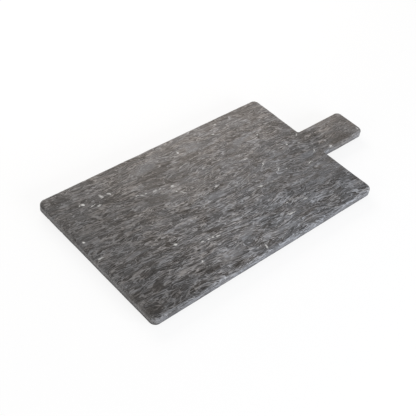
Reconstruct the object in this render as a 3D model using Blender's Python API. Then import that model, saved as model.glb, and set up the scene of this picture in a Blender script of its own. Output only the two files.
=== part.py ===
"""Stone paddle cutting board on four stick-on feet.

Metres, +Z up. X runs along the board towards its handle and Y across it. The
origin lies on the table, under the middle of the board's overall outline.
The slab is one sawn and ground piece of marble. Each foot is a turned rubber
pad, held to the slab's underside by a disc of double-sided foam tape.
"""

import math

import bmesh
import bpy

MM = 0.001

# Slab, seen from above
BLADE_LENGTH = 326.5 * MM
BLADE_WIDTH = 200.0 * MM
BLADE_CORNER_RADIUS = 7.5 * MM
HANDLE_LENGTH = 73.5 * MM
HANDLE_WIDTH = 44.0 * MM
HANDLE_CORNER_RADIUS = 7.0 * MM
HANDLE_ROOT_RADIUS = 2.0 * MM

# Slab, in section
SLAB_THICKNESS = 11.0 * MM
EDGE_ROUND_RADIUS = 3.2 * MM

# Rubber foot and the tape disc above it
FOOT_DIAMETER = 12.0 * MM
FOOT_HEIGHT = 2.0 * MM
FOOT_RIM_RADIUS = 1.2 * MM
FOOT_INSET = 22.0 * MM
TAPE_THICKNESS = 0.5 * MM
TAPE_MARGIN = 0.6 * MM

# Air left between faces that bear on each other
SEAT_GAP = 0.3 * MM

# Smoothness of the round stretches
CORNER_STEPS = 8
EDGE_ROUND_STEPS = 5
RIM_STEPS = 4
TURN_STEPS = 32

# A rounding is limited by the wall it is cut in: the slab's side holds two, the foot's side one
WALL_SHARE = 0.9
EDGE_ROUND = min(EDGE_ROUND_RADIUS, WALL_SHARE * SLAB_THICKNESS / 2)
FOOT_RIM = min(FOOT_RIM_RADIUS, WALL_SHARE * FOOT_HEIGHT)

# Heights above the table, from the bottom up
TAPE_BASE = FOOT_HEIGHT + SEAT_GAP
SLAB_BASE = TAPE_BASE + TAPE_THICKNESS + SEAT_GAP

# Where the blade starts, where it meets the handle, and where the handle ends
HANDLE_END_X = (BLADE_LENGTH + HANDLE_LENGTH) / 2
FREE_END_X = -HANDLE_END_X
HANDLE_ROOT_X = FREE_END_X + BLADE_LENGTH

FOOT_RADIUS = FOOT_DIAMETER / 2
TAPE_RADIUS = FOOT_RADIUS - TAPE_MARGIN

# Finishes: linear colour and roughness
MARBLE_COLOUR = (0.160, 0.154, 0.151, 1.0)
MARBLE_ROUGHNESS = 0.55
RUBBER_COLOUR = (0.018, 0.018, 0.019, 1.0)
RUBBER_ROUGHNESS = 0.80
TAPE_COLOUR = (0.62, 0.61, 0.57, 1.0)
TAPE_ROUGHNESS = 0.60

# Edges turned by more than this are rims, and points closer than this are one point
RIM_ANGLE = math.radians(60)
SAME_POINT = 0.001 * MM


def clear_scene():
    for existing in list(bpy.data.objects):
        bpy.data.objects.remove(existing)


def principled(name, colour, roughness):
    material = bpy.data.materials.new(name)
    material.use_nodes = True
    shader = material.node_tree.nodes["Principled BSDF"]
    shader.inputs["Base Color"].default_value = colour
    shader.inputs["Roughness"].default_value = roughness
    shader.inputs["Metallic"].default_value = 0.0
    return material


def add_object(name, mesh, parent, location, material):
    made = bpy.data.objects.new(name, mesh)
    bpy.context.scene.collection.objects.link(made)
    made.parent = parent
    made.location = location
    mesh.materials.append(material)
    return made


def arc(centre, radius, start_degrees, end_degrees, steps):
    """Points of a circular arc in the XY plane, both ends included."""
    points = []
    for step in range(steps + 1):
        angle = math.radians(start_degrees + (end_degrees - start_degrees) * step / steps)
        points.append((centre[0] + radius * math.cos(angle), centre[1] + radius * math.sin(angle)))
    return points


def upper_half_outline():
    """The paddle's outline at +Y, from the handle's end round to the blade's free end."""
    handle_y = HANDLE_WIDTH / 2
    blade_y = BLADE_WIDTH / 2
    handle_corner = (HANDLE_END_X - HANDLE_CORNER_RADIUS, handle_y - HANDLE_CORNER_RADIUS)
    root_fillet = (HANDLE_ROOT_X + HANDLE_ROOT_RADIUS, handle_y + HANDLE_ROOT_RADIUS)
    root_corner = (HANDLE_ROOT_X - BLADE_CORNER_RADIUS, blade_y - BLADE_CORNER_RADIUS)
    free_corner = (FREE_END_X + BLADE_CORNER_RADIUS, blade_y - BLADE_CORNER_RADIUS)
    return (
        arc(handle_corner, HANDLE_CORNER_RADIUS, 0, 90, CORNER_STEPS)
        + arc(root_fillet, HANDLE_ROOT_RADIUS, 270, 180, CORNER_STEPS)
        + arc(root_corner, BLADE_CORNER_RADIUS, 0, 90, CORNER_STEPS)
        + arc(free_corner, BLADE_CORNER_RADIUS, 90, 180, CORNER_STEPS)
    )


def build_slab(parent, material):
    """Blade and handle in one stone: the outline extruded, then both rims rounded."""
    upper = upper_half_outline()
    lower = [(x, -y) for x, y in reversed(upper)]
    shape = bmesh.new()
    corners = [shape.verts.new((x, y, 0.0)) for x, y in upper + lower]
    underside = shape.faces.new(corners)
    raised = bmesh.ops.extrude_face_region(shape, geom=[underside])
    top_corners = [item for item in raised["geom"] if isinstance(item, bmesh.types.BMVert)]
    bmesh.ops.translate(shape, verts=top_corners, vec=(0.0, 0.0, SLAB_THICKNESS))
    bmesh.ops.recalc_face_normals(shape, faces=shape.faces)
    mesh = bpy.data.meshes.new("marble_slab")
    shape.to_mesh(mesh)
    shape.free()
    slab = add_object("marble_slab", mesh, parent, (0.0, 0.0, SLAB_BASE), material)
    rounding = slab.modifiers.new("rounded_rims", "BEVEL")
    rounding.limit_method = "ANGLE"
    rounding.angle_limit = RIM_ANGLE
    rounding.width = EDGE_ROUND
    rounding.segments = EDGE_ROUND_STEPS
    rounding.harden_normals = True
    mesh.shade_smooth()
    return slab


def turned_mesh(name, profile):
    """A solid turned about Z from (radius, height) points that start and end on the axis."""
    shape = bmesh.new()
    corners = [shape.verts.new((radius, 0.0, height)) for radius, height in profile]
    edges = [shape.edges.new(pair) for pair in zip(corners, corners[1:])]
    bmesh.ops.spin(
        shape,
        geom=corners + edges,
        cent=(0.0, 0.0, 0.0),
        axis=(0.0, 0.0, 1.0),
        angle=math.tau,
        steps=TURN_STEPS,
        use_merge=True,
    )
    bmesh.ops.remove_doubles(shape, verts=shape.verts, dist=SAME_POINT)
    bmesh.ops.recalc_face_normals(shape, faces=shape.faces)
    mesh = bpy.data.meshes.new(name)
    shape.to_mesh(mesh)
    shape.free()
    mesh.shade_smooth()
    mesh.set_sharp_from_angle(angle=RIM_ANGLE)
    return mesh


def foot_profile():
    """Flat tread, rounded rim, upright side and flat seat."""
    tread_radius = FOOT_RADIUS - FOOT_RIM
    rim = arc((tread_radius, FOOT_RIM), FOOT_RIM, -90, 0, RIM_STEPS)
    return [(0.0, 0.0)] + rim + [(FOOT_RADIUS, FOOT_HEIGHT), (0.0, FOOT_HEIGHT)]


def tape_profile():
    return [(0.0, 0.0), (TAPE_RADIUS, 0.0), (TAPE_RADIUS, TAPE_THICKNESS), (0.0, TAPE_THICKNESS)]


def foot_places():
    """Each foot's name and its centre, inset alike from the blade's two nearest edges."""
    side_y = BLADE_WIDTH / 2 - FOOT_INSET
    ends = {"free_end": FREE_END_X + FOOT_INSET, "handle_end": HANDLE_ROOT_X - FOOT_INSET}
    sides = {"left": side_y, "right": -side_y}
    return {f"{end}_{side}": (x, y) for end, x in ends.items() for side, y in sides.items()}


def build_feet(parent, rubber, tape):
    for place, (x, y) in foot_places().items():
        pad_name = f"foot_{place}"
        tape_name = f"tape_disc_{place}"
        add_object(pad_name, turned_mesh(pad_name, foot_profile()), parent, (x, y, 0.0), rubber)
        add_object(tape_name, turned_mesh(tape_name, tape_profile()), parent, (x, y, TAPE_BASE), tape)


def main():
    clear_scene()
    board = bpy.data.objects.new("paddle_board", None)
    bpy.context.scene.collection.objects.link(board)
    build_slab(board, principled("honed_marble", MARBLE_COLOUR, MARBLE_ROUGHNESS))
    build_feet(
        board,
        principled("black_rubber", RUBBER_COLOUR, RUBBER_ROUGHNESS),
        principled("foam_tape", TAPE_COLOUR, TAPE_ROUGHNESS),
    )


main()
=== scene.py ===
# %% [markdown]
# # A honed marble paddle board
# The board is one slab of streaky dark grey marble, sawn to a paddle shape, ground round at its
# edges and honed to a dull sheen. It lies on four stick-on rubber feet. This lesson dresses the
# measured part: it models the stone and the feet at their places, gives each its finish, and
# lights them like a product photograph on a white table.

# %% Load the measured part
import math

import bmesh
import bpy
from mathutils import Matrix, Vector


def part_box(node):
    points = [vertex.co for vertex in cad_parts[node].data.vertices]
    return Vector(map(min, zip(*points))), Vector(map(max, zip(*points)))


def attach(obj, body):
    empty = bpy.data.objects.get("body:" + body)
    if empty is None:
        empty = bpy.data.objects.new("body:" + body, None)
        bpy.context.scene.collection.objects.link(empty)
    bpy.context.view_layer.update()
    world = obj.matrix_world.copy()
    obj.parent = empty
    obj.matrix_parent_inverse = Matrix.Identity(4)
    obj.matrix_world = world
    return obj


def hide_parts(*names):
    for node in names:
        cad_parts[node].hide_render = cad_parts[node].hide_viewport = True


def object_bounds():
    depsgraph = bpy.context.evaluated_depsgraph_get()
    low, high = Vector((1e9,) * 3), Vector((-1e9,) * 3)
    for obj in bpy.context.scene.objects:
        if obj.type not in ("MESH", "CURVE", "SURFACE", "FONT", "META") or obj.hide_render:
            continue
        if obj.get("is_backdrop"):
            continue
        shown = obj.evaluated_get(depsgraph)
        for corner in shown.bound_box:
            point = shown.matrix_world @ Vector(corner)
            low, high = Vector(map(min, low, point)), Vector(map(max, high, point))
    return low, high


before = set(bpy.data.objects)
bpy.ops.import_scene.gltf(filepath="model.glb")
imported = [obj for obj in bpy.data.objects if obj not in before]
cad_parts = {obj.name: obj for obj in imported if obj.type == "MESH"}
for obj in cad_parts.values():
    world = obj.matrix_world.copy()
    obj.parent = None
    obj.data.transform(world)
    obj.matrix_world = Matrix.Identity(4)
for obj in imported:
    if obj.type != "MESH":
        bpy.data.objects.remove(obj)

MM = 0.001
cad_low, cad_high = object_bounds()
cad_size = cad_high - cad_low
print("the measured part is", [round(length / MM, 1) for length in cad_size], "mm")

# %% [markdown]
# ## Sizes of the stone
# The slab's box gives its length, width and thickness. Where the blade ends and the handle starts
# isn't in the box, so it is read from the solid's own corners: the farthest point near the blade's
# sides is the root of the handle, and the widest point near the tip is half of the handle's width.

# %% Measure the slab
SIDE_BAND = 20 * MM
slab_low, slab_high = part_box("marble_slab")
slab_corners = [corner.co.copy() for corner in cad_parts["marble_slab"].data.vertices]
root_x = max(p.x for p in slab_corners if p.y > slab_high.y - SIDE_BAND)
handle_half = max(p.y for p in slab_corners if p.x > slab_high.x - SIDE_BAND)
print("blade ends at x =", round(root_x / MM, 1), "mm, handle width", round(2 * handle_half / MM, 1), "mm")

# %% [markdown]
# ## Hands for edit mode
# A person models by clicking a face or an edge and then calling a tool. In a script the click is a
# test on each face or edge: where it lies, and which way it points. Two small helpers make those
# clicks, and two more open and close a piece, so that every later cell reads as a list of tools.

# %% Helpers that select and switch modes
def only_select(piece):
    """Make one object the selected and active one."""
    bpy.ops.object.select_all(action="DESELECT")
    piece.select_set(True)
    bpy.context.view_layer.objects.active = piece


def start_editing(piece):
    only_select(piece)
    bpy.ops.object.mode_set(mode="EDIT")


def stop_editing():
    bpy.ops.object.mode_set(mode="OBJECT")


def pick(piece, kind, wanted):
    """Select the faces, edges or verts of the piece that pass a test, and nothing else."""
    bpy.ops.mesh.select_mode(type={"faces": "FACE", "edges": "EDGE", "verts": "VERT"}[kind])
    bpy.ops.mesh.select_all(action="DESELECT")
    shape = bmesh.from_edit_mesh(piece.data)
    shape.normal_update()
    chosen = [item for item in getattr(shape, kind) if wanted(item)]
    for item in chosen:
        item.select_set(True)
    bmesh.update_edit_mesh(piece.data)
    return len(chosen)


# %% [markdown]
# ## The slab's plan
# A stone cutter starts from a rectangle and saws the paddle out of it. Here a box the size of the
# blade is cut lengthwise in two places, and the end of the strip between the cuts is pulled out to
# make the handle. The cuts then dissolve, because the stone has no seam there. A drawn outline would
# do as well, but the pulled face keeps the handle's width tied to the measured part.

# %% Block out blade and handle
FACING = 0.9  # how far a normal points along the way that its face is said to look
FLAT_ANGLE = math.radians(1)


def name_piece(piece, name):
    """Give an object and its mesh one name."""
    piece.name = name
    piece.data.name = name
    return piece


bpy.ops.object.select_all(action="DESELECT")
blade_high = Vector((root_x, slab_high.y, slab_high.z))
bpy.ops.mesh.primitive_cube_add(size=1, location=(slab_low + blade_high) / 2, scale=blade_high - slab_low)
stone = name_piece(bpy.context.object, "stone_slab")
bpy.ops.object.transform_apply(location=True, rotation=True, scale=True)

start_editing(stone)
for cut_y in (-handle_half, handle_half):
    bpy.ops.mesh.select_all(action="SELECT")
    bpy.ops.mesh.bisect(plane_co=(0, cut_y, 0), plane_no=(0, 1, 0))


def faces_the_handle(face):
    middle = face.calc_center_median()
    return face.normal.x > FACING and abs(middle.y) < handle_half


pick(stone, "faces", faces_the_handle)
bpy.ops.mesh.extrude_region_move(TRANSFORM_OT_translate={"value": (slab_high.x - root_x, 0, 0)})
bpy.ops.mesh.select_all(action="SELECT")
bpy.ops.mesh.dissolve_limited(angle_limit=FLAT_ANGLE)
stop_editing()
print("paddle block:", len(stone.data.vertices), "corners")

# %% [markdown]
# ## Rounded corners in plan
# The blade's corners, the handle's corners and the two inner corners at the handle's root are each
# ground to their own radius. Bevelling the upright edges is the direct way: every group of edges is
# picked by its place and gets its radius as the bevel's width.

# %% Round the upright edges
BLADE_CORNER = 7.5 * MM
HANDLE_CORNER = 7.0 * MM
HANDLE_ROOT = 2.0 * MM
CORNER_SEGMENTS = 10
ROOT_SEGMENTS = 6
ROUND_PROFILE = 0.5
NEAR = 1 * MM  # how close an edge lies to the place it is picked by
STRAIGHT = 0.001 * MM  # how little counts as nothing


def upright_near(x, y):
    """A test for upright edges at a given x and at either +y or -y."""
    def wanted(edge):
        start, end = (corner.co for corner in edge.verts)
        upright = abs(start.x - end.x) + abs(start.y - end.y) < STRAIGHT
        return upright and abs(start.x - x) < NEAR and abs(abs(start.y) - y) < NEAR
    return wanted


def round_off(radius, segments):
    """Bevel the selected edges to a round of one radius."""
    bpy.ops.mesh.bevel(
        offset=radius, offset_type="OFFSET", segments=segments, profile=ROUND_PROFILE, affect="EDGES",
        clamp_overlap=False,
    )


plan_corners = (
    (slab_low.x, slab_high.y, BLADE_CORNER, CORNER_SEGMENTS),
    (root_x, slab_high.y, BLADE_CORNER, CORNER_SEGMENTS),
    (slab_high.x, handle_half, HANDLE_CORNER, CORNER_SEGMENTS),
    (root_x, handle_half, HANDLE_ROOT, ROOT_SEGMENTS),
)
start_editing(stone)
for x, y, radius, segments in plan_corners:
    found = pick(stone, "edges", upright_near(x, y))
    round_off(radius, segments)
    print("rounded", found, "upright edges to", round(radius / MM, 1), "mm")
stop_editing()

# %% [markdown]
# ## Pencil-rounded rims
# The top and bottom rims are rounded by hand with a grinding pad. The radii come from the photograph,
# from the breadth of the light band along each rim: the top one is a little rounder than the lower. A
# bevel along every rim edge gives the round. Before it, the long straight runs are cut into short
# steps, so that the rounding has enough points for the marks that hand grinding leaves.

# %% Step the straight runs, then round both rims
TOP_ROUND = 2.8 * MM
LOWER_ROUND = 2.3 * MM
RIM_STEP = 1.1 * MM
RIM_SEGMENTS = 8
RIM_SLOPE = 0.5  # how much the slope changes at a rim


def middle_of(edge):
    return (edge.verts[0].co + edge.verts[1].co) / 2


def rim_edge(edge):
    """An edge between a level face and an upright one."""
    slopes = [abs(face.normal.z) for face in edge.link_faces]
    return max(slopes) - min(slopes) > RIM_SLOPE


def rim_at(height):
    """A test for the rim edges at one height."""
    return lambda edge: rim_edge(edge) and abs(middle_of(edge).z - height) < NEAR


def rim_above_and_below(point):
    """A test for the two rim edges, top and bottom, whose middles lie over one point."""
    return lambda edge: rim_edge(edge) and (middle_of(edge) - point).xy.length < NEAR / 10


start_editing(stone)
pick(stone, "edges", rim_edge)
long_runs = [
    (middle_of(edge), round(edge.calc_length() / RIM_STEP))
    for edge in bmesh.from_edit_mesh(stone.data).edges
    if edge.select and middle_of(edge).z > slab_low.z + NEAR and edge.calc_length() > 2 * RIM_STEP
]
for point, steps in long_runs:
    pick(stone, "edges", rim_above_and_below(point))
    bpy.ops.mesh.subdivide(number_cuts=steps - 1)
rim_count = 0
for rim_height, radius in ((slab_high.z, TOP_ROUND), (slab_low.z, LOWER_ROUND)):
    rim_count += pick(stone, "edges", rim_at(rim_height))
    round_off(radius, RIM_SEGMENTS)
bpy.ops.mesh.select_all(action="SELECT")
bpy.ops.mesh.normals_make_consistent(inside=False)
stop_editing()
print("stepped", len(long_runs), "straight runs and rounded", rim_count, "rim edges")

# %% [markdown]
# ## Traces of hand grinding
# A rim rounded with a hand pad is never quite even: it waves a little along its length, and the brittle
# stone has lost small chips here and there. Both show in outlines and highlights, so they are cut into
# the mesh. One Displace modifier moves the rim to and fro by slow clouds. A second one only takes stone
# away, where the thinnest spots of a small cloud lie. Each corner's weight, strongest half way round the
# rim, keeps the flat faces and the board's box as they are.

# %% Grind waves and chips into the rims
WAVE_SIZE = 22 * MM
WAVE_DEPTH = 0.3 * MM
WAVE_SPAN = (0.25, 0.75)
CHIP_SIZE = 2.6 * MM
CHIP_DEPTH = 0.55 * MM
CHIP_SPAN = (0.25, 0.36)
RIM_GROUP = "rims"
grip = stone.vertex_groups.new(name=RIM_GROUP)
for corner in stone.data.vertices:
    slope = corner.normal.z ** 2
    grip.add([corner.index], 4 * slope * (1 - slope), "REPLACE")


def grind(name, size, depth, span, level):
    """Move the rims by a cloud: a span of it is stretched to 0 to 1, and at one level nothing moves."""
    cloud = bpy.data.textures.new(name, "CLOUDS")
    cloud.noise_scale = size
    cloud.use_color_ramp = True
    for stop, position in zip(cloud.color_ramp.elements, span):
        stop.position = position
    bpy.ops.object.modifier_add(type="DISPLACE")
    cut = stone.modifiers[-1]
    cut.texture = cloud
    cut.texture_coords = "LOCAL"
    cut.vertex_group = RIM_GROUP
    cut.mid_level = level
    cut.strength = depth
    before = [corner.co.copy() for corner in stone.data.vertices]
    bpy.ops.object.modifier_apply(modifier=cut.name)
    moves = [(corner.co - old).length for corner, old in zip(stone.data.vertices, before)]
    moved = sum(move > STRAIGHT for move in moves)
    print(name, "reach", round(max(moves) / MM, 2), "mm,", moved, "corners moved")


only_select(stone)
grind("waves", WAVE_SIZE, WAVE_DEPTH, WAVE_SPAN, level=0.5)
grind("chips", CHIP_SIZE, CHIP_DEPTH, CHIP_SPAN, level=1.0)

# %% [markdown]
# ## Soft rounding, flat faces
# Smooth shading makes the light flow around the rims, but by itself it would also bend the light on the
# broad faces beside them. A Weighted Normal modifier lets the larger face at each corner set the normal,
# so that flat stays flat.

# %% Smooth the rounding and keep the faces flat
LARGE_FACE_LEAD = 100
only_select(stone)
bpy.ops.object.shade_smooth()
bpy.ops.object.modifier_add(type="WEIGHTED_NORMAL")
weighting = stone.modifiers[-1]
weighting.weight = LARGE_FACE_LEAD
bpy.ops.object.modifier_apply(modifier=weighting.name)
print("stone:", len(stone.data.polygons), "faces")

# %% [markdown]
# ## Shader maths as Python
# A stone pattern is arithmetic on noise. One small class wraps a node's socket, so that `1 - mask`
# or `a * b` on wrapped sockets adds the Math nodes by itself, and one method adds any other node.

# %% A wrapped socket
class Wire:
    """A socket of a node tree that takes part in Python arithmetic."""

    def __init__(self, tree, socket=None):
        self.tree = tree
        self.socket = socket

    def node(self, kind, settings=None, sockets=None, output=0):
        """Add a node: first its settings, then the values or links of its sockets."""
        made = self.tree.nodes.new(kind)
        for name, setting in (settings or {}).items():
            setattr(made, name, setting)
        for name, given in (sockets or {}).items():
            if isinstance(given, Wire):
                self.tree.links.new(given.socket, made.inputs[name])
            else:
                made.inputs[name].default_value = given
        return Wire(self.tree, made.outputs[output])

    def math(self, operation, *others):
        """Add a Math node that works on this value and the others."""
        sockets = dict(enumerate((self, *others)))
        return self.node("ShaderNodeMath", {"operation": operation}, sockets)

    def __add__(self, other):
        return self.math("ADD", other)

    def __sub__(self, other):
        return self.math("SUBTRACT", other)

    def __rsub__(self, other):
        return self.node("ShaderNodeMath", {"operation": "SUBTRACT"}, {0: other, 1: self})

    def __mul__(self, other):
        return self.math("MULTIPLY", other)

    __radd__ = __add__
    __rmul__ = __mul__

    def ramp(self, low, high, start=0.0, end=1.0):
        """A smooth step from start to end while this value goes from low to high."""
        sockets = {"Value": self, 1: low, 2: high, 3: start, 4: end}
        return self.node("ShaderNodeMapRange", {"interpolation_type": "SMOOTHSTEP"}, sockets)

    def mix(self, first, second):
        """The first colour, with the second laid over it as far as this value says.

        The Mix node keeps sockets for every kind of value; 6, 7 and the output 2 are those for colours.
        """
        settings = {"data_type": "RGBA", "clamp_factor": True}
        return self.node("ShaderNodeMix", settings, {0: self, 6: first, 7: second}, output=2)


# %% [markdown]
# ## Finishes and colours
# Every finish starts as a new material with its Principled shader. Colours are written as a photograph
# shows them, from 0 to 255, and are turned into the linear light that Blender reckons with.

# %% Helpers for finishes
def new_finish(name):
    """A material, its Principled shader and a wire to start expressions from."""
    material = bpy.data.materials.new(name)
    material.use_nodes = True
    shader = material.node_tree.nodes["Principled BSDF"]
    return material, shader, Wire(material.node_tree)


def paint(red, green, blue):
    """A colour as a photograph's 0 to 255 values, turned into linear light by the sRGB curve."""
    linear = [((c / 255 + 0.055) / 1.055) ** 2.4 if c > 10 else c / 255 / 12.92 for c in (red, green, blue)]
    return (*linear, 1.0)


# %% [markdown]
# ## The stone's bedding
# The marble was squeezed while it formed, so its grains are drawn out into streaks that run along the
# board and a little across it. All noises below therefore read coordinates that are turned to the
# streaks' direction, squeezed along it, and bent by slow waves, as if the stone had flowed.

# %% Streak coordinates
STREAK_ANGLE = math.radians(-5)
HONED_SPECULAR = 0.2

marble, marble_shader, wire = new_finish("honed_marble")
marble_shader.inputs["Specular IOR Level"].default_value = HONED_SPECULAR
place = wire.node("ShaderNodeTexCoord", output="Object")


def stretched(vector, size, seed=0.0):
    """Coordinates turned along the streaks and measured in lumps of a size in mm, along and across them."""
    along, across = size
    settings = {"vector_type": "TEXTURE"}
    sockets = {
        "Vector": vector,
        "Location": (seed, -seed, seed),
        "Rotation": (0, 0, STREAK_ANGLE),
        "Scale": (along * MM, across * MM, across * MM),
    }
    return wire.node("ShaderNodeMapping", settings, sockets)


def noise(vector, size, seed, detail=2.0, roughness=0.5):
    """Cloudy noise about 0.5, drawn out along the streaks."""
    drawn_out = stretched(vector, size, seed)
    sockets = {"Vector": drawn_out, "Scale": 1.0, "Detail": detail, "Roughness": roughness}
    return wire.node("ShaderNodeTexNoise", {}, sockets)


def bend(vector, size, reach, seed):
    """Push coordinates to and fro by a slow noise; the reach is in mm."""
    sockets = {"Vector": stretched(vector, size, seed), "Scale": 1.0, "Detail": 1.0}
    waves = wire.node("ShaderNodeTexNoise", {}, sockets, output="Color")
    centred = wire.node("ShaderNodeVectorMath", {"operation": "SUBTRACT"}, {0: waves, 1: (0.5, 0.5, 0.5)})
    push = wire.node("ShaderNodeVectorMath", {"operation": "SCALE"}, {0: centred, "Scale": reach * MM})
    return wire.node("ShaderNodeVectorMath", {"operation": "ADD"}, {0: vector, 1: push})


def part_of(vector, axis):
    """One coordinate of a vector: 0 runs along the board, 1 across it and 2 up."""
    return wire.node("ShaderNodeSeparateXYZ", {}, {0: vector}, output=axis)


slow = bend(place, size=(100, 45), reach=20, seed=23.0)
flow = bend(slow, size=(34, 11), reach=5, seed=2.0)
crinkle = bend(flow, size=(14, 5), reach=2.0, seed=3.0)
wavy = bend(place, size=(18, 7), reach=7, seed=3.5)
ragged = bend(place, size=(3.5, 2.2), reach=3.5, seed=3.7)
print("streaks lie at", round(math.degrees(STREAK_ANGLE)), "degrees to the board")

# %% [markdown]
# ## Marks of this very board
# Noise gives any streaky marble, but a slab also has marks of its own: dusky and pale lenses, white flecks
# of calcite, and broad beds that are darker, lighter or calmer. The broad beds are partly the stone's tone
# and
# partly painted light: the darker ones painted shade, the lighter and calmer ones a painted sheen. The main
# ones were read off the photograph and are listed as ovals on the board: x, y, length, width in mm and a
# turn in degrees.

# %% List the marks
# Broad beds: partly the stone's tone, partly painted shade where darker and a painted sheen where lighter.
SHADY_BEDS = ((-225, -10, 340, 640, 0),)
DIM_BEDS = ((115, -35, 250, 130, 0), (185, -20, 150, 110, 0))
SUNNY_BEDS = ((40, 120, 380, 170, 0), (180, 40, 130, 130, 0), (-100, 125, 240, 100, 0))
HAZY_BEDS = (
    (-125, 62, 260, 150, 0), (165, -35, 100, 80, 0), (-190, -85, 110, 80, 0), (85, -105, 140, 50, 0),
)
QUIET_AND_SHEEN_BEDS = ((30, 45, 360, 200, 0), (185, 0, 140, 110, 0), (95, -35, 130, 70, 0))
DUSKY_LENSES = (
    (-138, 56, 24, 7, -4), (-72, 61, 84, 7, -1), (-16, 64, 44, 9, 0), (50, 57, 30, 6, 8),
    (-156, 10, 20, 7, 25), (-131, 28, 22, 8, -10), (-82, -2, 24, 8, -15), (-150, -26, 46, 6, -6),
    (-32, -31, 30, 8, -6), (-72, -43, 22, 7, -5), (-168, -50, 28, 9, 0), (-35, -77.5, 17, 4, 25),
    (-191, -89, 24, 12, -5), (-110, -83, 30, 8, -5), (-82, -94, 24, 7, 0), (33, -83, 36, 6, -4),
    (-136, -13, 26, 7, 8), (-160, -42, 30, 8, 0), (-196, -64, 18, 9, 0), (-171, -70, 18, 13, 20),
    (-163, -89, 12, 9, 0), (-133, -90, 24, 8, 0), (-125, -31, 9, 10, 60), (-70, -27, 14, 7, -20),
    (163, -21, 44, 22, 0), (-126, 54, 46, 4, -6), (-184, 18.5, 22, 6, 8), (16, 63, 30, 5, 8),
    (38, 6, 10, 4, 0), (80, -2, 12, 4, 0), (91, -6, 15, 4, 18), (99, -22, 14, 6, 3), (100, -39, 15, 7, 10),
    (87, -46, 15, 6, 0), (58, -32, 12, 5, 8), (43, -43, 10, 6, 0), (46, -9.5, 6, 7, 0), (64, 1, 6, 5, 0),
    (-22, -71, 16, 4, 35), (-15, -69, 9, 5, 0),
)
PALE_LENSES = (
    (-75, 75, 52, 15, 0), (0, 74, 30, 13, 15), (58, 50, 44, 10, 0), (-145, 38, 30, 6, 0),
    (105, -14, 34, 10, -5), (-162, -21, 40, 5, -3), (-95, -18, 60, 5, -4), (-35, -4, 28, 12, 0),
    (70, 7, 46, 5, -3), (-45, -67, 40, 10, 12), (-78, -80, 44, 16, 8), (-5, -86, 44, 9, -5),
    (163, 17, 56, 10, 0), (191, -24, 20, 10, 0), (-30, -84, 26, 8, 10),
)
WHITE_FLECKS = (
    (-167, 68.5, 3, 2.5, 0), (-163.5, 68, 5, 4, -20), (-139.5, 67.5, 8, 3.2, -70), (-149.5, 57, 6, 3, 10),
    (-107, 45.5, 6, 1.6, -10), (-102, 43.2, 5, 1.8, -20), (-96.5, 42.5, 4, 2.4, 0), (-86, 40.5, 7, 1.8, -5),
    (-78.5, 39.5, 5, 2, 0), (-64.5, 35.5, 4, 3, 0), (-61, 21, 10, 2.5, -58), (-24, 7, 5, 2.6, 0),
    (-23, 76, 7, 2.6, 85), (34, 77.5, 6, 2.6, -25), (49, 90, 5, 2.4, -25), (-195, 22.5, 6, 2, -35),
    (-194, -5.5, 9, 2, 0), (-119.5, -35, 4.5, 4, 0), (-111.5, -69.5, 4, 2.6, 35), (-74, -52, 9, 2.6, -8),
    (-80, -50, 3.5, 3, 0), (19, -22.5, 8, 1.6, -5), (-42, -93.5, 8, 3, 60), (46, -66.3, 11, 2.2, -3),
    (17, -74, 14, 2, -6), (141, -20, 4, 3, 0), (-130.5, 66, 7, 3, -45), (-93, -48.5, 5, 2.6, 0),
    (-86, -49.5, 3.5, 2.2, 0), (24, -59, 5, 2, 0), (195, -15.5, 8, 2.2, 85), (79, 47, 4, 2, 0),
    (120, 19, 7, 2, 35), (-66, 26, 4, 2.4, -40), (47, 3.5, 11, 1.5, 40), (36, 22, 10, 1.5, 0),
    (56, -13.5, 10, 1.5, 30), (66, -18, 4, 2, 0), (96.5, -26, 13, 1.4, 8), (116.5, -14, 9, 1.6, 35),
    (97, 12.7, 3, 2.2, 0), (112, 7, 5, 1.8, -20), (-155, 61, 11, 1.8, 5),
)
print("lenses:", len(DUSKY_LENSES), "dusky and", len(PALE_LENSES), "pale ones; flecks:", len(WHITE_FLECKS))

# %% [markdown]
# ## Drawing the marks
# A spherical gradient in a moved and stretched space draws each oval: it is 1 in the middle and falls to 0
# at the rim, and a smooth step sets how soon it is full. Broad beds read slowly bent coordinates, lenses
# wavy ones and flecks ragged ones, which frays their outlines. A mark goes some way down into the stone, so
# it runs over the rim. The dark beds, partly painted shade, fade there, because the sides are painted paler,
# partly for their ground finish and partly as painted light. Height tells the sides from the top, and the
# place along the board tells which side is the wall of the free end.

# %% Draw the marks
MARK_DEPTH = 40 * MM
SHADY_FULL = 0.8
BED_FULL = 0.6
LENS_FULL = 0.5
FLECK_FULL = 0.65


def spots(vector, ovals):
    """1 in the middle of the ovals, falling to 0 at their rims."""
    strongest = 0.0
    for x, y, length, width, turn in ovals:
        sockets = {
            "Vector": vector,
            "Location": (x * MM, y * MM, slab_high.z),
            "Rotation": (0, 0, math.radians(turn)),
            "Scale": (length / 2 * MM, width / 2 * MM, MARK_DEPTH),
        }
        local = wire.node("ShaderNodeMapping", {"vector_type": "TEXTURE"}, sockets)
        settings = {"gradient_type": "SPHERICAL"}
        ball = wire.node("ShaderNodeTexGradient", settings, {"Vector": local}, output="Fac")
        strongest = ball.math("MAXIMUM", strongest)
    return strongest


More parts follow.
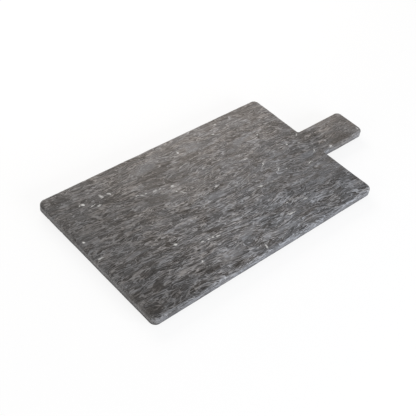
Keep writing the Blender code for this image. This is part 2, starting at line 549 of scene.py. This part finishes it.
height = part_of(place, 2)
side = height.ramp(slab_high.z - 1.4 * TOP_ROUND, slab_high.z - 0.55 * TOP_ROUND, 1.0, 0.0)
end_wall = part_of(place, 0).ramp(slab_low.x + TOP_ROUND, slab_low.x + 3 * TOP_ROUND, 1.0, 0.0)
shady = spots(slow, SHADY_BEDS).ramp(0.0, SHADY_FULL) * (1 - 0.5 * side)
dim = spots(slow, DIM_BEDS).ramp(0.0, BED_FULL) * (1 - side)
sunny = spots(slow, SUNNY_BEDS).ramp(0.0, BED_FULL)
hazy = spots(slow, HAZY_BEDS).ramp(0.0, BED_FULL) * (1 - side)
quiet_and_sheen = spots(slow, QUIET_AND_SHEEN_BEDS).ramp(0.0, BED_FULL)
dusk = spots(wavy, DUSKY_LENSES).ramp(0.0, LENS_FULL)
pale = spots(wavy, PALE_LENSES).ramp(0.0, LENS_FULL)
fleck = spots(ragged, WHITE_FLECKS).ramp(0.0, FLECK_FULL)
print("marble with its marks:", len(wire.tree.nodes), "nodes")

# %% [markdown]
# ## Clouds behind the streaks
# Behind the fine streaks the stone is cloudy. A few slow noises say where it is light or dark, where it
# lies calm, where the streaks are bold, and where dusky or silvery ones prevail. Fine specks will break
# the streaks up. The ground colour is mixed from two greys.

# %% Clouds and ground colour
DARK_GROUND = paint(52, 50, 48)
LIGHT_GROUND = paint(88, 87, 86)
tone = noise(slow, (60, 22), 4.0)
fibres = noise(crinkle, (18, 3.6), 5.0, roughness=0.6)
calm = noise(slow, (30, 14), 10.0).ramp(0.55, 0.63) * (1 - 0.8 * dusk)
calm = calm.math("MAXIMUM", 0.6 * pale).math("MAXIMUM", 0.75 * side * (1 - 0.7 * dusk))
bold = noise(flow, (34, 12), 11.0).ramp(0.46, 0.6)
dusky = noise(flow, (26, 9), 12.0).ramp(0.38, 0.62)
silvery = noise(flow, (26, 9), 13.0).ramp(0.38, 0.62)
speck = noise(crinkle, (5, 1.6), 9.0, detail=1.0).ramp(0.38, 0.62)
mottle = 0.6 * fibres.ramp(0.36, 0.64) + 0.4 * tone.ramp(0.34, 0.66)
mottle = mottle + calm * (0.6 - mottle)
body = mottle.mix(DARK_GROUND, LIGHT_GROUND)
print("marble with its clouds:", len(wire.tree.nodes), "nodes")

# %% [markdown]
# ## Thin beds, light and dark
# Close up, the streaks are thin beds with one sharp and one soft edge. Counting beds across the streaks,
# with noise added to the count, and keeping only the fraction gives just that: a value that climbs from
# 0 to 1 in each bed and drops at a wavy line. Its low end is a dark umber band and its high end a silver
# one. Three sizes of beds lie over each other, with long dark seams among them. Each size has the lumps of
# its noise in mm, a seed, how many beds the noise shifts it by, its spacing in mm, and its strength.

# %% Lay the beds
def beds(vector, size, seed, count, spacing):
    """Wavy beds a spacing in mm apart: each climbs from 0 to 1 across the streaks and then drops sharply."""
    across = part_of(stretched(vector, (spacing, spacing)), 1)
    return (across + noise(vector, size, seed) * count).math("FRACT")


UMBER = paint(20, 14, 9)
SILVER = paint(180, 180, 180)
dark = 0.88 * dusk * (0.55 + 0.45 * fibres.ramp(0.4, 0.6))
light = 0.35 * pale
dark_reach = 0.115 + 0.28 * dusky + 0.2 * dusk - 0.04 * pale + 0.14 * shady
light_reach = 0.84 - 0.3 * silvery + 0.1 * dusk - 0.1 * pale
bed_sizes = (
    ((64, 10), 31.0, 8, 11, 0.6 + 0.4 * bold),
    ((37, 5.9), 32.0, 6, 5.9, 1 - 0.4 * bold),
    ((24, 3.7), 33.0, 5, 3.9, 1 - 0.6 * bold),
)
for size, seed, count, spacing, strength in bed_sizes:
    band = beds(crinkle, size, seed, count, spacing)
    dark = (strength * band.ramp(0.5 * dark_reach, dark_reach, 1.0, 0.0)).math("MAXIMUM", dark)
    light = (strength * band.ramp(light_reach, 1.0)).math("MAXIMUM", light)
seams = beds(crinkle, (100, 22), 34.0, 6, 30).ramp(0.0, 0.12, 1.0, 0.0)
dark = ((0.4 + 0.6 * bold) * seams).math("MAXIMUM", dark)
stir = (1.06 + 0.7 * shady) * (1 - 0.6 * calm) * (1 - 0.12 * quiet_and_sheen)
body = (dark * stir * (1.1 - 0.24 * speck) * (1 - 0.5 * pale)).mix(body, UMBER)
shine = light * (0.78 + 0.34 * speck) * (1 + 0.4 * shady)
shine = shine * (1 - 0.4 * calm) * (1 - 0.12 * quiet_and_sheen) * (1 - 0.5 * dusk)
body = (1.02 * shine).mix(body, SILVER)
print("beds in", len(bed_sizes), "sizes and one set of seams")

# %% [markdown]
# ## Crystals and veils
# Marble is a felt of calcite crystals, each about a millimetre wide and a little lighter or darker than
# its neighbours. Voronoi cells with a random value each are those crystals. Thin veils of light and dark
# lay them, the clouds and the broad beds over the streaks; the veils of the broad beds are partly painted
# shade and painted sheen. Each veil has a cover and a colour.

# %% Lay the veils
CRYSTAL = 1.1 * MM
# A near black: for darker tone in the clouds and for painted shade in the broad beds.
DARK_TONE_AND_SHADE = paint(14, 14, 14)
cells = wire.node("ShaderNodeTexVoronoi", {}, {"Vector": place, "Scale": 1 / CRYSTAL}, output="Color")
crystal = part_of(cells, 0)
clouds = tone.ramp(0.38, 0.62)
veils = (
    (0.09 * speck * stir, paint(165, 165, 166)),
    (0.09 * (1 - speck) * stir, paint(38, 36, 34)),
    (0.07 * crystal, paint(185, 185, 185)),
    (0.05 * (1 - crystal), paint(24, 23, 22)),
    (0.11 * (1 - clouds), DARK_TONE_AND_SHADE),
    (0.045 * clouds, paint(170, 170, 170)),
    # The broad beds' veils: partly the stone's tone, partly painted shade where they darken and a painted
    # sheen where they lighten.
    (0.51 * shady, DARK_TONE_AND_SHADE),
    (0.22 * dim, DARK_TONE_AND_SHADE),
    (0.15 * hazy, DARK_TONE_AND_SHADE),
    (0.09 * quiet_and_sheen, paint(170, 170, 170)),
    (0.09 * sunny, paint(162, 162, 162)),
)
for cover, colour in veils:
    body = cover.mix(body, colour)
print("crystals are", round(CRYSTAL / MM, 1), "mm wide, with", len(veils), "veils over the streaks")

# %% [markdown]
# ## Tint, painted light and calcite
# Iron tints the stone: brown in the handle, and gathering in the dark beds. Across the board the tint runs
# from blue grey at the near long side to brown at the far one, partly the stone's own stain and partly
# painted cool and warm light, and the sides, all but the end wall, are painted cooler as cool light. The
# tint is multiplied into the stone rather than laid over it, so the streaks keep their contrast. The white
# flecks of calcite come after it, because no streak or tint covers them.

# %% Tint the stone and add the flecks
COOL_TINT = (0.86, 0.89, 0.95, 1.0)
WARM_TINT = (0.955, 0.87, 0.8, 1.0)
CALCITE = paint(216, 216, 213)
across = part_of(slow, 1).ramp(0.9 * slab_low.y, 0.9 * slab_high.y)
along = part_of(slow, 0)
to_handle = along.ramp(0.87 * root_x, 0.8 * slab_high.x)
to_free_end = along.ramp(0.55 * slab_low.x, 0.0, 1.0, 0.0)
at_free_end = along.ramp(0.9 * slab_low.x, 0.65 * slab_low.x, 1.0, 0.0)
# The slope across the board is partly painted cool and warm light; the cooler sides are painted cool light.
iron_and_light_tint = 0.24 + 0.6 * across + 0.34 * to_handle
iron_and_light_tint = iron_and_light_tint + 0.2 * to_free_end * (1 - across) - 0.25 * at_free_end * across
iron_and_light_tint = iron_and_light_tint + 0.22 * (dusky - 0.5) + 0.3 * (dark - 0.3) - 0.2 * light * (0.4 + 0.6 * across)
iron_and_light_tint = iron_and_light_tint + 0.15 * dusk - 0.15 * pale - 0.25 * side * (1 - end_wall)
tint = iron_and_light_tint.mix(COOL_TINT, WARM_TINT)
body = wire.node("ShaderNodeVectorMath", {"operation": "MULTIPLY"}, {0: body, 1: tint})
body = (0.85 * fleck * (0.6 + 0.4 * speck)).mix(body, CALCITE)
print("marble with its tint:", len(wire.tree.nodes), "nodes")

# %% [markdown]
# ## Honed, handled and sawn
# The top is honed: dull, with the harder crystals standing a hair higher and shining a little more. The
# rounded rims are rubbed by hands and cloths, so they are smoother, and they are painted paler, partly as
# rubbing and partly as a painted highlight. The sides are painted a little paler too, partly for their
# ground finish and partly as painted light, and the lower edge is painted darker as shade under the board.
# Nobody
# hones the underside: it is left from the saw, pale and rough, with fine parallel lines. Each of these
# places lies at its own height, so height alone finds it. Only the painted shade at the lower edge also asks
# for the place along the board, because it is deepest on the wall of the free end.

# %% Surface of the stone
SAW_PITCH = 1.4 * MM
SAW_DRIFT = 14.0
rim = height.ramp(slab_high.z - TOP_ROUND, slab_high.z - 0.5 * TOP_ROUND)
rim = rim * height.ramp(slab_high.z - 0.06 * TOP_ROUND, slab_high.z - 0.02 * TOP_ROUND, 1.0, 0.0)
lower = height.ramp(slab_low.z + LOWER_ROUND, slab_low.z + 2.6 * LOWER_ROUND, 1.0, 0.0)
under = height.ramp(slab_low.z + 0.05 * LOWER_ROUND, slab_low.z + 0.2 * LOWER_ROUND, 1.0, 0.0)
rub_and_highlight = noise(place, (9, 9), 41.0).ramp(0.36, 0.6)
wobble = noise(place, (40, 12), 42.0)
saw = (part_of(place, 0) * (math.tau / SAW_PITCH) + SAW_DRIFT * wobble).math("SINE")
saw = (0.5 + 0.5 * saw) * under
# The sides are painted paler: partly their ground finish, partly painted light.
body = (0.12 * side).mix(body, paint(160, 160, 162))
# The top rims are painted paler: partly rubbing, partly a painted highlight along the rim.
body = ((0.02 + 0.06 * rub_and_highlight) * rim).mix(body, paint(190, 189, 187))
# Painted shade: the lower edge is painted darker, as shade under the board, most on the free end's wall.
body = ((0.3 + 0.3 * end_wall) * lower * (1 - under)).mix(body, paint(24, 23, 22))
body = ((0.26 + 0.1 * saw) * under).mix(body, paint(150, 149, 147))
print("the saw left a line every", round(SAW_PITCH / MM, 1), "mm")

# %% [markdown]
# ## Relief and shine
# Honing leaves crystals and streaks a few hundredths of a millimetre proud or sunk. That is far too fine
# for the mesh, so a bump follows it, and the saw lines below are part of the same bump. Colour, roughness
# and bump are all that varies over the stone.

# %% Connect the marble
def link(shader, socket, value):
    """Feed a value to one socket of a shader."""
    wire.tree.links.new(value.socket, shader.inputs[socket])


def bump(hills, strength, depth):
    """A normal that follows hills from 0 to 1, which stand for a depth in mm."""
    return wire.node("ShaderNodeBump", {}, {"Strength": strength, "Distance": depth * MM, "Height": hills})


relief = 0.35 * crystal + 0.25 * light - 0.35 * dark + 0.2 * speck + 1.5 * saw
link(marble_shader, "Base Color", body)
link(marble_shader, "Roughness", 0.46 + 0.1 * dark - 0.08 * crystal - 0.08 * rub_and_highlight * rim + 0.28 * under)
link(marble_shader, "Normal", bump(relief, strength=0.35, depth=0.04))
stone.data.materials.append(marble)
print("marble:", len(wire.tree.nodes), "nodes")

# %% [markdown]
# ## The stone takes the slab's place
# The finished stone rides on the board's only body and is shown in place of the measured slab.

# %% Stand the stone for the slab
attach(stone, "root")
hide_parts("marble_slab")
print(stone.name, "is shown for marble_slab")

# %% [markdown]
# ## Rubber feet
# A bare stone would scratch the table and ring on it, so such boards lie on small stick-on pads. Each is
# a moulded rubber button: a rounded lower rim, a flat tread and a ring groove that lets it grip. A
# cylinder is the start, its lower rim is bevelled round, and insets that step in and down cut the groove.
# One foot is modelled at the first place and copied to the other three.

# %% Model one foot
FOOT_SIDES = 48
SMOOTH_ANGLE = math.radians(40)
LOWER_RIM = 1.2 * MM
LOWER_SEGMENTS = 6
SEAT_RIM = 0.2 * MM
SEAT_SEGMENTS = 2
GROOVE_INSET = 1.1 * MM
GROOVE_WALL = 0.15 * MM
GROOVE_WIDTH = 0.8 * MM
GROOVE_DEPTH = 0.35 * MM
places = [name.removeprefix("foot_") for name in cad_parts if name.startswith("foot_")]
first = places[0]


def add_disc(name, low, high, sides):
    """A plain cylinder that fills a box, to be shaped further."""
    middle = (low + high) / 2
    size = high - low
    bpy.ops.object.select_all(action="DESELECT")
    bpy.ops.mesh.primitive_cylinder_add(vertices=sides, radius=size.x / 2, depth=size.z, location=middle)
    bpy.ops.object.transform_apply(location=True, rotation=True, scale=True)
    return name_piece(bpy.context.object, name)


def tread(face):
    return face.normal.z < -FACING


foot_low, foot_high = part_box(f"foot_{first}")
foot = add_disc(f"rubber_foot_{first}", foot_low, foot_high, FOOT_SIDES)
start_editing(foot)
foot_rims = ((foot_low.z, LOWER_RIM, LOWER_SEGMENTS), (foot_high.z, SEAT_RIM, SEAT_SEGMENTS))
for rim_height, radius, segments in foot_rims:
    pick(foot, "edges", rim_at(rim_height))
    round_off(radius, segments)
pick(foot, "faces", lambda face: tread(face) and len(face.verts) == FOOT_SIDES)
groove_steps = (
    (GROOVE_INSET, 0),
    (GROOVE_WALL, -GROOVE_DEPTH),
    (GROOVE_WIDTH, 0),
    (GROOVE_WALL, GROOVE_DEPTH),
)
for inward, outward in groove_steps:
    bpy.ops.mesh.inset(thickness=inward, depth=outward)
stop_editing()
only_select(foot)
bpy.ops.object.shade_smooth_by_angle(angle=SMOOTH_ANGLE)
print("foot:", len(foot.data.polygons), "faces")

# %% [markdown]
# ## Foam tape under the stone
# A disc of double-sided foam tape holds each foot. Seen from the side it is a pale band: the foam
# bulges a little where the stone's weight presses on it, and its two glue films lie against foot and
# stone. The disc therefore fills the thin space between them but for a hair's breadth, and its middle
# is swelled outwards.

# %% Model one tape disc
TAPE_SIDES = 48
GLUE_FILM = 0.12 * MM
GLUE_GAP = 0.02 * MM
BULGE = 1.035
BULGE_ROUND = 0.2 * MM
BULGE_SEGMENTS = 4
tape_low, tape_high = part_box(f"tape_disc_{first}")
tape_low.z = foot_high.z + GLUE_GAP
tape_high.z = slab_low.z - GLUE_GAP
tape = add_disc(f"foam_tape_{first}", tape_low, tape_high, TAPE_SIDES)
tape_middle = (tape_low + tape_high) / 2
start_editing(tape)
for cut_height in (tape_low.z + GLUE_FILM, tape_middle.z, tape_high.z - GLUE_FILM):
    bpy.ops.mesh.select_all(action="SELECT")
    bpy.ops.mesh.bisect(plane_co=(0, 0, cut_height), plane_no=(0, 0, 1))


def half_way_up(corner):
    return abs(corner.co.z - tape_middle.z) < GLUE_FILM


pick(tape, "verts", half_way_up)
bpy.ops.transform.resize(value=(BULGE, BULGE, 1), center_override=tape_middle)
pick(tape, "edges", lambda edge: all(half_way_up(corner) for corner in edge.verts))
round_off(BULGE_ROUND, BULGE_SEGMENTS)
stop_editing()
only_select(tape)
bpy.ops.object.shade_smooth_by_angle(angle=SMOOTH_ANGLE)
tape_thickness = tape_high.z - tape_low.z
print("tape disc:", len(tape.data.polygons), "faces,", round(tape_thickness / MM, 2), "mm thick")

# %% [markdown]
# ## Black rubber
# Moulded rubber is nearly black with a dry bloom: a cloudy greyness, strongest where the rim rubs on
# tables. The bloom is noise, the rubbed rim is a band of height, and a fine grain roughens the moulded
# skin.

# %% Rubber finish
SCUFF_TOP = 0.9 * MM
RUBBER_SPECULAR = 0.3
rubber, rubber_shader, wire = new_finish("foot_rubber")
rubber_shader.inputs["Specular IOR Level"].default_value = RUBBER_SPECULAR
place = wire.node("ShaderNodeTexCoord", output="Object")


def even_noise(size, detail=3.0):
    """Cloudy noise about 0.5 with lumps of one size in mm, the same in all directions."""
    sockets = {"Vector": place, "Scale": 1 / (size * MM), "Detail": detail}
    return wire.node("ShaderNodeTexNoise", {}, sockets)


bloom = even_noise(2.2).ramp(0.4, 0.68)
scuff = even_noise(0.7).ramp(0.42, 0.6) * part_of(place, 2).ramp(0.0, SCUFF_TOP, 1.0, 0.0)
skin = even_noise(0.25, 1.0)
black = bloom.mix(paint(32, 32, 33), paint(46, 46, 46))
link(rubber_shader, "Base Color", (0.55 * scuff).mix(black, paint(92, 90, 87)))
link(rubber_shader, "Roughness", 0.68 + 0.14 * bloom + 0.12 * scuff)
link(rubber_shader, "Normal", bump(skin, strength=0.5, depth=0.05))
foot.data.materials.append(rubber)
print("rubber:", len(wire.tree.nodes), "nodes")

# %% [markdown]
# ## Pale foam
# Closed-cell foam shows pores along its cut edge. Small Voronoi cells are the pores: sunk at their
# middles and painted darker there, as shade. The glue films at both faces are smoother and a little yellow.

# %% Foam finish
PORE = 0.28 * MM
foam, foam_shader, wire = new_finish("foam_tape")
place = wire.node("ShaderNodeTexCoord", output="Object")
cells = wire.node("ShaderNodeTexVoronoi", {}, {"Vector": place, "Scale": 1 / PORE})
pores = cells.ramp(0.1, 0.45, 1.0, 0.0)
rise = part_of(place, 2)
film = rise.ramp(tape_low.z + GLUE_FILM / 2, tape_low.z + GLUE_FILM, 1.0, 0.0)
film = film.math("MAXIMUM", rise.ramp(tape_high.z - GLUE_FILM, tape_high.z - GLUE_FILM / 2))
stain = even_noise(1.6).ramp(0.42, 0.64)
cream = stain.mix(paint(205, 203, 196), paint(188, 184, 174))
# Painted shade: the pores are painted darker, as shade in their hollows.
cream = (0.5 * pores * (1 - film)).mix(cream, paint(128, 124, 116))
link(foam_shader, "Base Color", (0.6 * film).mix(cream, paint(196, 186, 158)))
link(foam_shader, "Roughness", 0.75 - 0.35 * film)
link(foam_shader, "Normal", bump(1 - pores * (1 - film), strength=0.6, depth=0.08))
tape.data.materials.append(foam)
print("foam:", len(wire.tree.nodes), "nodes, pores", round(PORE / MM, 2), "mm wide")

# %% [markdown]
# ## Four places
# The four feet are alike, so the finished pair of foot and tape is copied to the places that the
# measured part gives, each copy with a mesh of its own and its place kept in that mesh.

# %% Copy, and stand each piece for its part
def copied_to(piece, name, shift):
    """A copy with its own mesh, moved and then fixed there."""
    only_select(piece)
    bpy.ops.object.duplicate()
    bpy.ops.transform.translate(value=shift)
    bpy.ops.object.transform_apply(location=True, rotation=True, scale=True)
    return name_piece(bpy.context.object, name)


dressed = (
    (foot, "rubber_foot", "foot", "foot_rubber"),
    (tape, "foam_tape", "tape_disc", "foam_tape"),
)
for spot in places:
    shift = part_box(f"foot_{spot}")[0] - foot_low
    for model, name, node, finish in dressed:
        piece = model if spot == first else copied_to(model, f"{name}_{spot}", shift)
        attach(piece, "root")
        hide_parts(f"{node}_{spot}")
print("feet and tape at", ", ".join(places))

# %% [markdown]
# ## A white table that keeps a shadow
# The board is shown on plain white. Flooding the scene with light until the table clips would wash the
# stone out, so the table is white to the camera instead: rays that come straight from the camera, or
# by way of a reflection, meet a surface that mostly glows by itself and is only partly lit, which leaves
# a soft shadow. Away from the board this fades to plain white, so that no edge or patch of lamp light shows
# from any side. All other rays meet an ordinary matt table, so the light it throws back stays natural.

# %% Table
TABLE_SIDE = 40
TABLE_GLOW = 0.84
TABLE_GREY = 0.5
TABLE_ROUGHNESS = 0.9
FADE_START = 0.5
FADE_END = 1.4

bpy.ops.object.select_all(action="DESELECT")
bpy.ops.mesh.primitive_plane_add(size=TABLE_SIDE, location=(0, 0, 0))
table = name_piece(bpy.context.object, "white_table")
table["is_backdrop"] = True


def seen_straight(tree):
    """1 for rays from the camera and for mirrored or refracted ones, 0 for scattered light."""
    rays = tree.nodes.new("ShaderNodeLightPath")
    kinds = [Wire(tree, rays.outputs[f"Is {kind} Ray"]) for kind in ("Camera", "Glossy", "Transmission")]
    return kinds[0].math("MAXIMUM", kinds[1]).math("MAXIMUM", kinds[2])


table_finish, table_shader, wire = new_finish("white_table")
table_shader.inputs["Roughness"].default_value = TABLE_ROUGHNESS
table_shader.inputs["Base Color"].default_value = (TABLE_GREY, TABLE_GREY, TABLE_GREY, 1)
glow = wire.node("ShaderNodeEmission", {}, {"Color": (1, 1, 1, 1), "Strength": TABLE_GLOW})
lit_share = 1 - TABLE_GLOW
lit = wire.node("ShaderNodeBsdfDiffuse", {}, {"Color": (lit_share, lit_share, lit_share, 1)})
white = wire.node("ShaderNodeAddShader", {}, {0: glow, 1: lit})
blank = wire.node("ShaderNodeEmission", {}, {"Color": (1, 1, 1, 1), "Strength": 1.0})
place = wire.node("ShaderNodeTexCoord", output="Object")
distance = wire.node("ShaderNodeVectorMath", {"operation": "LENGTH"}, {0: place}, output="Value")
fade = distance.ramp(FADE_START, FADE_END)
white = wire.node("ShaderNodeMixShader", {}, {0: fade, 1: white, 2: blank})
matt = Wire(wire.tree, table_shader.outputs[0])
shown = wire.node("ShaderNodeMixShader", {}, {0: seen_straight(wire.tree), 1: matt, 2: white})
wire.tree.links.new(shown.socket, wire.tree.nodes["Material Output"].inputs["Surface"])
table.data.materials.append(table_finish)
print("table:", TABLE_SIDE, "m wide, lit by", round(lit_share, 2), "of the light that falls on it")

# %% [markdown]
# ## Studio light
# The photograph's light is soft and comes from all around, with two leanings: the long side near the
# camera is cool and bright, and the far half of the top has a warm sheen. An even white room gives the
# ground light. Like the table, it is plain white to the camera and in reflections, and weaker as a lamp.

# %% Room
ROOM_LIGHT = 0.357
scene = bpy.context.scene
scene.view_settings.view_transform = "Standard"
world = bpy.data.worlds.new("white_room")
world.use_nodes = True
scene.world = world
wire = Wire(world.node_tree)
room = wire.node("ShaderNodeBackground", {}, {"Color": (1, 1, 1, 1), "Strength": ROOM_LIGHT})
backdrop = wire.node("ShaderNodeBackground", {}, {"Color": (1, 1, 1, 1), "Strength": 1.0})
shown = wire.node("ShaderNodeMixShader", {}, {0: seen_straight(wire.tree), 1: room, 2: backdrop})
wire.tree.links.new(shown.socket, wire.tree.nodes["World Output"].inputs["Surface"])
print("the room shines with", ROOM_LIGHT, "of white")

# %% [markdown]
# ## Softboxes
# A cool softbox low on the near side and a warm one behind the board add the two leanings. A weak,
# slightly warm one fills in the wall of the free end.

# %% Softboxes
COOL_LIGHT = (0.89, 0.925, 1.0)
MILD_LIGHT = (1.0, 0.96, 0.92)
WARM_LIGHT = (1.0, 0.94, 0.88)


def softbox(name, place, size, power, colour):
    """A rectangular lamp at a place in metres, turned to the board's middle and hidden from the camera."""
    lamp = bpy.data.lights.new(name, "AREA")
    lamp.shape = "RECTANGLE"
    lamp.size, lamp.size_y = size
    lamp.energy = power
    lamp.color = colour
    holder = bpy.data.objects.new(name, lamp)
    scene.collection.objects.link(holder)
    holder.visible_camera = False
    holder.location = place
    holder.rotation_euler = (-Vector(place)).to_track_quat("-Z", "Y").to_euler()
    print(name, "at", place, "with", power, "W")


softbox("near_cool", place=(0.25, -1.5, 0.4), size=(1.4, 0.7), power=32, colour=COOL_LIGHT)
softbox("end_fill", place=(-1.6, -0.2, 0.45), size=(1.0, 0.6), power=9.5, colour=MILD_LIGHT)
softbox("far_warm", place=(0.15, 0.85, 0.55), size=(0.9, 0.5), power=6.5, colour=WARM_LIGHT)

# %% [markdown]
# ## The camera's stand
# The photograph was taken from the free end's near corner, about 45 degrees above the table, with a
# slight tilt. The stand's place, the point it aims at and the lens come from lining up the board's
# outline with the one in the photograph, so they are real lengths in the board's own frame.

# %% Camera
LENS = 72.84
SENSOR = 36
CAMERA_PLACE = Vector((-546.77, -459.69, 655.37)) * MM
CAMERA_AIM = Vector((-50.72, -10.04, 8.6)) * MM
CAMERA_TILT = math.radians(8.9)
camera = bpy.data.objects.new("camera", bpy.data.cameras.new("camera"))
scene.collection.objects.link(camera)
camera.data.lens = LENS
camera.data.sensor_width = SENSOR
gaze = (CAMERA_AIM - CAMERA_PLACE).to_track_quat("-Z", "Y").to_matrix().to_4x4()
camera.matrix_world = Matrix.Translation(CAMERA_PLACE) @ gaze @ Matrix.Rotation(CAMERA_TILT, 4, "Z")
scene.camera = camera
print("camera", round((CAMERA_AIM - CAMERA_PLACE).length / MM), "mm from the board")

# %% [markdown]
# ## Sizes and the end
# The dressed board's box is printed, in the same form as the measured part's box at the start.

# %% Print the dressed board's size
visual_low, visual_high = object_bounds()
visual_size = visual_high - visual_low
print("the dressed board is", [round(length / MM, 1) for length in visual_size], "mm")
